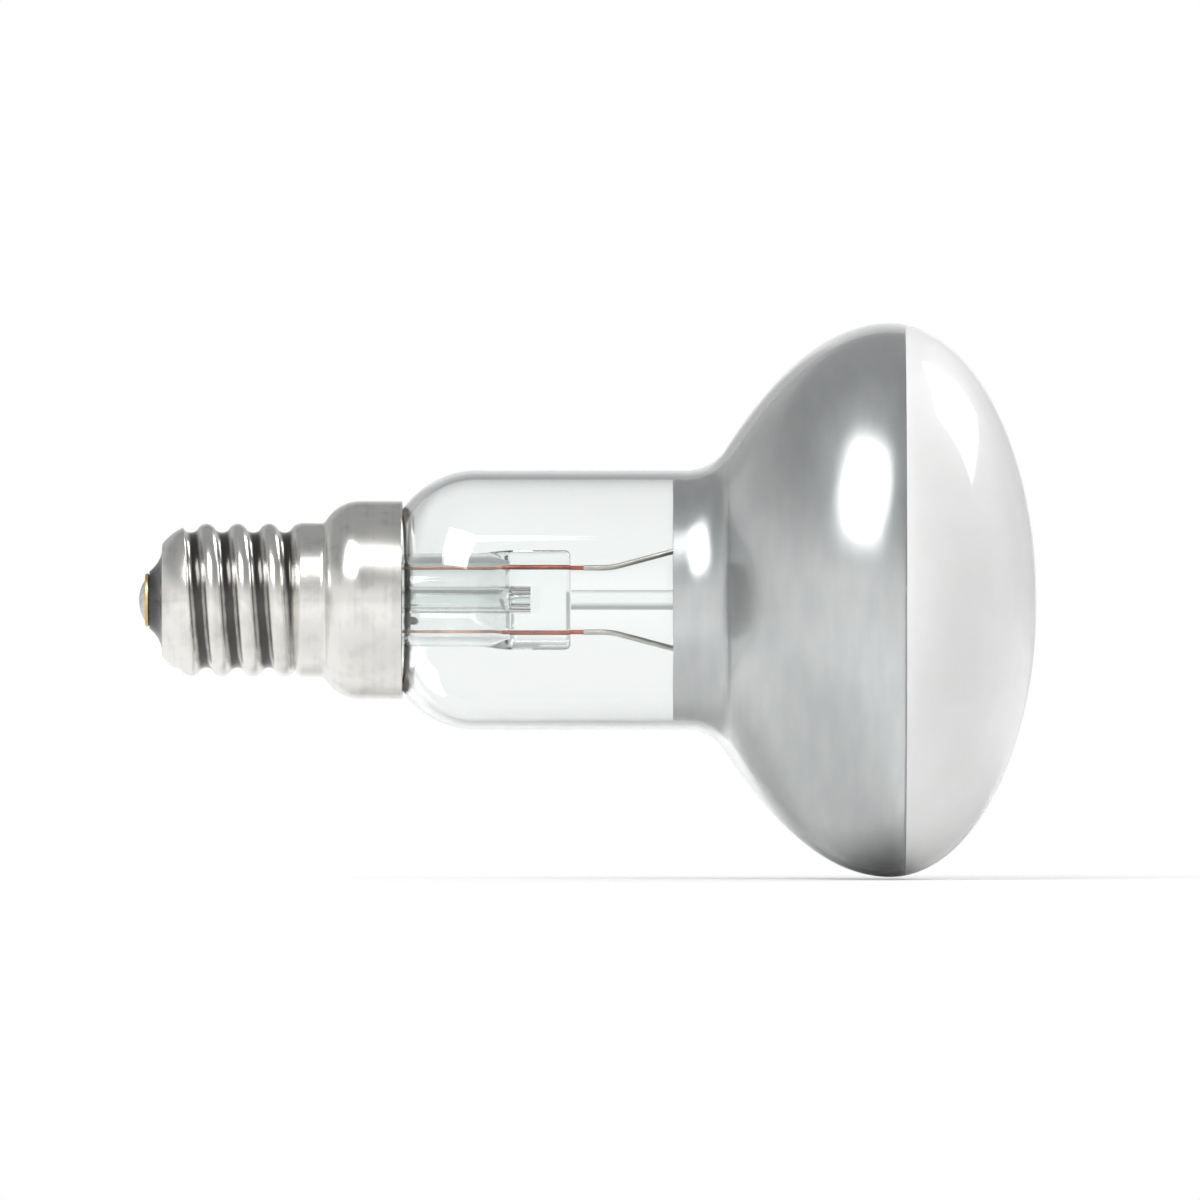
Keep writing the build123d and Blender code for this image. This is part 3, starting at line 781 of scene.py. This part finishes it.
# Depth into the thread's roots; the plating darkens the roots by it as painted shade.
groove_depth = (np.minimum(thread_crest, rim_round(cap_x)) - np.hypot(cap_y, cap_z)) / thread_depth
groove = cap_shell.data.attributes.new("groove", "FLOAT", "POINT")
groove.data.foreach_set("value", np.clip(np.where(cap_x < band_x, groove_depth, 0), 0, 1))


def combined(tree, operation, *inputs):
    """The result of a math node on these outputs and numbers."""
    node = tree.nodes.new("ShaderNodeMath")
    node.operation = operation
    for given, socket in zip(inputs, node.inputs):
        if isinstance(given, float):
            socket.default_value = given
        else:
            tree.links.new(given, socket)
    return node.outputs["Value"]


def nickel_plate(name):
    """Nickel plating: satin, with fine rings from the rolling, smears from handling, and grey tarnish in
    faint patches. The roots of the thread are painted near black by their depth, as painted shade."""
    material, tree, shader = finish(name, {"Metallic": 1.0})
    marks = placed(tree, smears, {"Scale": 220.0, "Clean": 0.18, "Handled": 0.26})
    rings = placed(tree, grain, {"Along": 2600.0, "Across": 60.0, "Depth": 0.00001, "Strength": 0.12})
    blotches = placed(tree, grain, {"Along": 500.0, "Across": 500.0, "Depth": 0.0, "Strength": 0.0})
    depth = tree.nodes.new("ShaderNodeAttribute")
    depth.attribute_name = "groove"
    # Painted shade: the roots are darkened by their depth alone, while the blotches and rings are real
    # tarnish.
    root_shade_mask = combined(tree, "POWER", depth.outputs["Fac"], root_shade_power)
    stains_and_root_shade = combined(tree, "MULTIPLY_ADD", blotches.outputs["Height"], blotch_tarnish, root_shade_mask)
    tarnish_and_root_shade = combined(tree, "MULTIPLY_ADD", rings.outputs["Height"], ring_tarnish, stains_and_root_shade)
    tone = shaded(tree, tarnish_and_root_shade, (0.33, plate_bright), (1.0, plate_tarnish_and_shade))
    fed(tree, shader, tone, marks, rings)
    return material


cap_shell.data.materials.append(nickel_plate("nickel_plate"))
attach(cap_shell, "root")
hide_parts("cap_shell")


# Cap insulator: opaque black glass, melted into the nose of the cap round the centre contact.
# It stands out as a low cone; its dished back is hidden.
contact_front_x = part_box("contact_plate")[0].x
contact_thickness = 0.0004
contact_back_x = contact_front_x + contact_thickness
nose_flat_radius = 0.0026
insulator_lip = 0.0006
insulator_dish = 0.0022
insulator_dish_floor = 0.0025
insulator_hole = 0.0006
shank_radius = 0.0012
shank_end_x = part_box("contact_plate")[1].x
nose_hollow = 0.0002
nose_points = 16
black_deep = (0.01, 0.01, 0.011, 1)
black_dusty = (0.03, 0.03, 0.03, 1)
nose_foot = np.array([contact_back_x, nose_flat_radius])
nose_rim = np.array([cap_rim_x, rim_inside - ring_gap])
nose_across = (nose_rim - nose_foot)[::-1] * (1, -1) / np.linalg.norm(nose_rim - nose_foot)
nose_middle = (nose_foot + nose_rim) / 2 + 2 * nose_hollow * nose_across
nose = bezier(nose_points, nose_foot, nose_middle, nose_rim)
insulator_line = np.vstack(
    (
        nose,
        [
            [bore_x, bore_radius - ring_gap],
            [insulator_back_x, bore_radius - ring_gap],
            [insulator_back_x, bore_radius - insulator_lip],
            [insulator_back_x - insulator_dish, insulator_dish_floor],
            [insulator_back_x - insulator_dish, insulator_hole],
            [shank_end_x + ring_gap, insulator_hole],
            [shank_end_x + ring_gap, shank_radius + ring_gap],
            [contact_back_x, shank_radius + ring_gap],
        ],
    )
)


def black_glass(name):
    """Cast black glass: deep and glossy, with a slight orange-peel and dusty patches."""
    material, tree, shader = finish(name, {"IOR": 1.52})
    marks = placed(tree, smears, {"Scale": 500.0, "Clean": 0.06, "Handled": 0.25})
    peel = placed(tree, grain, {"Along": 900.0, "Across": 900.0, "Depth": 0.00006, "Strength": 0.2})
    tone = shaded(tree, peel.outputs["Height"], (0.2, black_deep), (0.8, black_dusty))
    fed(tree, shader, tone, marks, peel)
    return material


cap_insulator = skin("insulator_nose", turned(insulator_line, ring_sides), loop=True)
cap_insulator.data.materials.append(black_glass("cast_black_glass"))
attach(cap_insulator, "root")
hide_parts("cap_insulator")


# Contact plate: a small turned brass button whose hollow shank is set in the black glass.
# The centre lead comes up through the shank and is soldered on top.
contact_radius = 0.0024
contact_hole = 0.0005
contact_edge = 0.00015
contact_sides = 96
contact_back = contact_back_x - ring_gap
edge_radius = contact_radius - contact_edge
contact_line = np.vstack(
    (
        [[contact_front_x, contact_hole]],
        arc((contact_front_x + contact_edge, edge_radius), contact_edge, np.pi, -np.pi / 2, edge_points),
        arc((contact_back - contact_edge, edge_radius), contact_edge, np.pi / 2, -np.pi / 2, edge_points),
        [[contact_back, shank_radius], [shank_end_x, shank_radius], [shank_end_x, contact_hole]],
    )
)
contact_plate = skin("contact_button", turned(contact_line, contact_sides), loop=True)
contact_brass = wire_metal(
    "plain_brass", colour=(0.78, 0.6, 0.3, 1), stain=(0.55, 0.38, 0.16, 1), clean=0.29, handled=0.42
)
contact_plate.data.materials.append(contact_brass)
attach(contact_plate, "root")
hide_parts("contact_plate")


# Solder: a low dome of tin on the centre contact, and a drop that joins the side lead to the skirt's mouth.
# Both set with a dull, slightly uneven skin.
solder_radius = 0.00185
solder_height = contact_front_x
solder_waves = ((0.02, 3, 0.6), (0.012, 7, 0))
drop_radius = 0.00075
drop_sink = 0.00055
drop_size = 0.93
drop_waves = ((0.045, 2, 1), (0.025, 5, 0))
drop_points = 32
drop_sides = 48
tin_dull = (0.42, 0.42, 0.42, 1)
tin_bright = (0.7, 0.7, 0.69, 1)


def lumpy(grid, size, waves):
    """The grid with uneven rings: each point's reach from the axis is scaled by a size plus sine waves round
    the ring, each of a height, a number of waves and a shift."""
    angle = np.linspace(0, 2 * np.pi, grid.shape[1], endpoint=False)
    uneven = size + sum(height * np.sin(number * angle + shift) for height, number, shift in waves)
    return grid * np.stack((np.ones_like(uneven), uneven, uneven), axis=-1)


dome_bend = (solder_radius**2 + solder_height**2) / (2 * solder_height)
dome = arc((dome_bend, 0), dome_bend, np.pi, -np.arcsin(solder_radius / dome_bend), bend_points)
dome[0, 1] = 0
plug_radius = contact_hole - ring_gap
solder_plug = [[contact_front_x, plug_radius], [contact_back, plug_radius], [contact_back, 0]]
dome_grid = lumpy(turned(dome, contact_sides), 1, solder_waves)
plug_grid = turned(np.array(solder_plug), contact_sides)
centre_solder = skin("centre_solder_dome", np.concatenate((dome_grid, plug_grid)))

drop_turn = np.arctan2(-lead_z, side_lead_y)
drop_reach = skirt_radius - drop_sink
drop_middle = np.array([mouth_x, drop_reach * np.cos(drop_turn), drop_reach * np.sin(drop_turn)])
drop_line = arc((0, 0), drop_radius, np.pi, -np.pi, drop_points)
drop_line[[0, -1], 1] = 0
drop_grid = lumpy(turned(drop_line, drop_sides), drop_size, drop_waves)
side_solder = skin("side_solder_drop", drop_grid + drop_middle)


def dull_tin(name):
    """Solder: soft grey with cloudy frosted patches and a wrinkled skin."""
    material, tree, shader = finish(name, {"Metallic": 1.0})
    marks = placed(tree, smears, {"Scale": 900.0, "Clean": 0.3, "Handled": 0.5})
    wrinkles = placed(tree, grain, {"Along": 2500.0, "Across": 2500.0, "Depth": 0.00005, "Strength": 0.35})
    tone = shaded(tree, wrinkles.outputs["Height"], (0.2, tin_dull), (0.8, tin_bright))
    fed(tree, shader, tone, marks, wrinkles)
    return material


solder_finish = dull_tin("dull_tin")
for piece, node in ((centre_solder, "centre_solder"), (side_solder, "side_solder")):
    piece.data.materials.append(solder_finish)
    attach(piece, "root")
    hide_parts(node)


# Floor and room: a plain white table just under the bulb, and a bright wall all round that darkens overhead.
# A grey flag at either side of the wall behind draws the edges of the glass. What the camera sees of the
# room is white, and the table keeps the bulb's soft shadow.
floor_gap = 0.0002
floor_z = -bulb_radius - floor_gap
floor_reach = 4.0
table_colour = (0.85, 0.85, 0.85, 1)
shadow_near = 0.005
shadow_far = 0.06
shadow_white = 0.35
onward_near = 0.05
onward_far = 0.18
mirrored_white = 0.35
ceiling_start = 0.12
ceiling_full = 0.5
ceiling_grey = (0.38, 0.385, 0.39, 1)
flag_middle = 0.4
flag_half_width = 0.2
flag_fade = 0.3
flag_behind = 0.3
flag_grey = (0.5, 0.5, 0.5, 1)
plain_white = (1, 1, 1, 1)


def reached(tree, measure, start, end, low):
    """A share that grows from low to 1 while a measure goes from start to end."""
    growth = tree.nodes.new("ShaderNodeMapRange")
    growth.inputs["From Min"].default_value = start
    growth.inputs["From Max"].default_value = end
    growth.inputs["To Min"].default_value = low
    tree.links.new(measure, growth.inputs["Value"])
    return growth.outputs["Result"]


def white_table(name):
    """White table: near the bulb the lit surface shows with its shadow, and far away it is plain white, for
    the camera from close by and for glass and metal from further off."""
    material, tree, shader = finish(name, {"Base Color": table_colour, "Roughness": 0.8})
    place = tree.nodes.new("ShaderNodeTexCoord")
    far = tree.nodes.new("ShaderNodeVectorMath")
    far.operation = "DISTANCE"
    far.inputs[1].default_value = (widest_x, 0, floor_z)
    tree.links.new(place.outputs["Object"], far.inputs[0])
    seen = reached(tree, far.outputs["Value"], shadow_near, shadow_far, shadow_white)
    beyond = reached(tree, far.outputs["Value"], onward_near, onward_far, 0.0)
    rays = tree.nodes.new("ShaderNodeLightPath")
    mirrored = combined(tree, "MULTIPLY", rays.outputs["Is Glossy Ray"], mirrored_white)
    onward = combined(tree, "MAXIMUM", rays.outputs["Is Transmission Ray"], mirrored)
    passed_on = combined(tree, "MULTIPLY", onward, beyond)
    share = combined(tree, "MULTIPLY_ADD", rays.outputs["Is Camera Ray"], seen, passed_on)
    white = tree.nodes.new("ShaderNodeEmission")
    mix = tree.nodes.new("ShaderNodeMixShader")
    tree.links.new(share, mix.inputs["Fac"])
    tree.links.new(shader.outputs["BSDF"], mix.inputs[1])
    tree.links.new(white.outputs["Emission"], mix.inputs[2])
    tree.links.new(mix.outputs["Shader"], tree.nodes["Material Output"].inputs["Surface"])
    return material


floor_corners = np.array([(-1, -1, 0), (1, -1, 0), (1, 1, 0), (-1, 1, 0)]) * floor_reach + (0, 0, floor_z)
floor_mesh = bpy.data.meshes.new("table")
floor_mesh.from_pydata(floor_corners.tolist(), [], [(0, 1, 2, 3)])
floor = bpy.data.objects.new("table", floor_mesh)
floor_mesh.materials.append(white_table("white_table"))
bpy.context.collection.objects.link(floor)


def laid(tree, kind, share, under, over):
    """A colour with another laid over it by this share, in the given way of blending. The one laid over it
    is an output or a plain colour."""
    node = tree.nodes.new("ShaderNodeMix")
    node.data_type = "RGBA"
    node.blend_type = kind
    tree.links.new(share, node.inputs["Factor"])
    tree.links.new(under, node.inputs["A"])
    if isinstance(over, tuple):
        node.inputs["B"].default_value = over
    else:
        tree.links.new(over, node.inputs["B"])
    return node.outputs["Result"]


world = bpy.data.worlds.new("room")
bpy.context.scene.world = world
world.use_nodes = True
room = world.node_tree
direction = room.nodes.new("ShaderNodeTexCoord")
towards = room.nodes.new("ShaderNodeSeparateXYZ")
room.links.new(direction.outputs["Generated"], towards.inputs["Vector"])
overhead = shaded(room, towards.outputs["Z"], (ceiling_start, plain_white), (ceiling_full, ceiling_grey))
sideways = combined(room, "ABSOLUTE", towards.outputs["X"])
off_flag = combined(room, "ABSOLUTE", combined(room, "SUBTRACT", sideways, flag_middle))
flags = shaded(room, off_flag, (flag_half_width, flag_grey), (flag_fade, plain_white))
behind = reached(room, towards.outputs["Y"], 0.0, flag_behind, 0.0)
walls = laid(room, "DARKEN", behind, overhead, flags)
rays = room.nodes.new("ShaderNodeLightPath")
shown = laid(room, "MIX", rays.outputs["Is Camera Ray"], walls, plain_white)
room.links.new(shown, room.nodes["Background"].inputs["Color"])


# Lamps: a wide soft box over the left front, and a weaker one from the right back that draws the far edges.
middle_x = 0.0416
for name, place, size, power in (
    ("key_box", (-0.25, -0.45, 0.55), 0.45, 6.0),
    ("rim_box", (0.5, 0.35, 0.4), 0.35, 2.5),
):
    lamp = bpy.data.lights.new(name, "AREA")
    lamp.size = size
    lamp.energy = power
    light = bpy.data.objects.new(name, lamp)
    light.location = place
    light.rotation_euler = (Vector((middle_x, 0, 0)) - light.location).to_track_quat("-Z", "Y").to_euler()
    bpy.context.collection.objects.link(light)


# Camera: level with the bulb's axis and square to it, far away with a long lens, as the picture is drawn.
picture_width = 0.1083
camera_distance = 3.0
camera = bpy.data.cameras.new("camera")
camera.sensor_width = 36
camera.lens = camera.sensor_width * camera_distance / picture_width
camera.clip_end = 20
viewer = bpy.data.objects.new("camera", camera)
viewer.location = (middle_x, -camera_distance, 0)
viewer.rotation_euler = (np.pi / 2, 0, 0)
bpy.context.collection.objects.link(viewer)
bpy.context.scene.camera = viewer
bpy.context.scene.view_settings.view_transform = "Standard"
